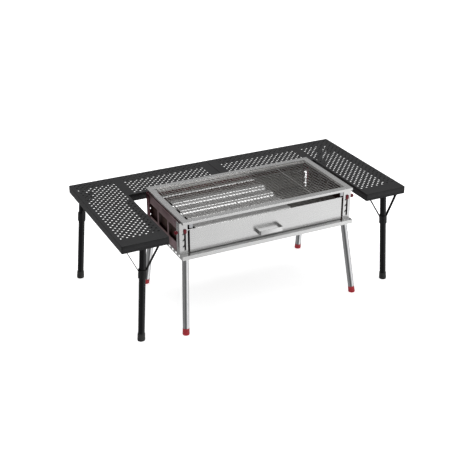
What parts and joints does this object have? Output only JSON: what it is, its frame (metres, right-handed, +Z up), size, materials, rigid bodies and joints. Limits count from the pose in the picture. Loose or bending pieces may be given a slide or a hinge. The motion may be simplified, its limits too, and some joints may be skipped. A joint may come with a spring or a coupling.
{
  "type": "charcoal grill with folding surround table",
  "caption": "Rectangular stainless charcoal grill with a drawer and a lifting charcoal bed, standing inside a U-shaped perforated folding table.",
  "frame": {"origin": "middle of the footprint at floor level", "axes": "+X along the grill's long side, +Y from the drawer to the back, +Z up"},
  "size_m": [1.2056, 0.6376, 0.4444],
  "materials": {
    "stainless": "satin brushed stainless",
    "heat_tinted_steel": "heat-tinted stainless",
    "bright_tube": "bright tube",
    "net_steel": "bright wire",
    "grate_steel": "dark woven mesh",
    "red_rubber": "moulded, satin",
    "red_plastic": "glossy",
    "black_paint": "satin black coating",
    "black_tube": "satin black coating",
    "black_rubber": "matt",
    "zinc": "zinc plated"
  },
  "bodies": {
    "grill": {"base_front_rail": "stainless", "base_back_rail": "stainless", "base_left_rail": "stainless", "base_right_rail": "stainless", "grill_leg_front_left": "bright_tube", "grill_leg_front_right": "bright_tube", "grill_leg_back_left": "bright_tube", "grill_leg_back_right": "bright_tube", "grill_foot_front_left": "red_rubber", "grill_foot_front_right": "red_rubber", "grill_foot_back_left": "red_rubber", "grill_foot_back_right": "red_rubber", "corner_post_front_left": "stainless", "corner_post_front_right": "stainless", "corner_post_back_left": "stainless", "corner_post_back_right": "stainless", "side_panel_left": "heat_tinted_steel", "side_panel_right": "heat_tinted_steel", "side_liner_left": "heat_tinted_steel", "side_liner_right": "heat_tinted_steel", "back_panel": "heat_tinted_steel", "top_rim": "stainless", "rim_bracket_left": "zinc", "rim_bracket_right": "zinc"},
    "drawer": {"drawer_tray": "stainless", "drawer_front": "stainless", "drawer_handle": "stainless"},
    "charcoal_bed": {"charcoal_plate": "stainless", "charcoal_grate": "grate_steel", "lift_rod_front": "stainless", "lift_rod_back": "stainless", "lift_knob_front_left": "red_plastic", "lift_knob_front_right": "red_plastic", "slot_button_front_left": "red_plastic", "slot_button_front_right": "red_plastic", "slot_button_back_left": "red_plastic", "slot_button_back_right": "red_plastic"},
    "net": {"cooking_net": "net_steel"},
    "table": {"table_top_left": "black_paint", "table_top_right": "black_paint", "fold_hinge_leaf_left": "zinc", "fold_hinge_leaf_right": "zinc", "fold_hinge_pin": "zinc"},
    "table_leg_front_left_group": {"table_leg_front_left": "black_tube", "table_foot_front_left": "black_rubber", "table_brace_front_left": "black_paint", "table_pivot_rod_front_left": "black_tube"},
    "table_leg_front_right_group": {"table_leg_front_right": "black_tube", "table_foot_front_right": "black_rubber", "table_brace_front_right": "black_paint", "table_pivot_rod_front_right": "black_tube"},
    "table_leg_back_left_group": {"table_leg_back_left": "black_tube", "table_foot_back_left": "black_rubber", "table_brace_back_left": "black_paint", "table_pivot_rod_back_left": "black_tube"},
    "table_leg_back_right_group": {"table_leg_back_right": "black_tube", "table_foot_back_right": "black_rubber", "table_brace_back_right": "black_paint", "table_pivot_rod_back_right": "black_tube"}
  },
  "joints": [
    {"name": "drawer_slide", "type": "slide", "parent": "grill", "child": "drawer", "axis": [0, -1, 0], "range_m": [0, 0.26]},
    {"name": "bed_lift", "type": "slide", "parent": "grill", "child": "charcoal_bed", "axis": [0, 0, 1], "range_m": [-0.06, 0]},
    {"name": "net_lift_off", "type": "slide", "parent": "grill", "child": "net", "axis": [0, 0, 1], "range_m": [0, 0.1]},
    {"name": "table_pull_away", "type": "slide", "parent": "grill", "child": "table", "axis": [0, 1, 0], "range_m": [0, 0.65]},
    {"name": "fold_leg_front_left", "type": "hinge", "parent": "table", "child": "table_leg_front_left_group", "pos_m": [-0.512, -0.26318, 0.391], "axis": [1, 0, 0], "range_deg": [0, 90]},
    {"name": "fold_leg_front_right", "type": "hinge", "parent": "table", "child": "table_leg_front_right_group", "pos_m": [0.512, -0.26318, 0.391], "axis": [1, 0, 0], "range_deg": [0, 90]},
    {"name": "fold_leg_back_left", "type": "hinge", "parent": "table", "child": "table_leg_back_left_group", "pos_m": [-0.552, 0.29682, 0.391], "axis": [0, -1, 0], "range_deg": [0, 95]},
    {"name": "fold_leg_back_right", "type": "hinge", "parent": "table", "child": "table_leg_back_right_group", "pos_m": [0.552, 0.29682, 0.391], "axis": [0, 1, 0], "range_deg": [0, 95]}
  ]
}
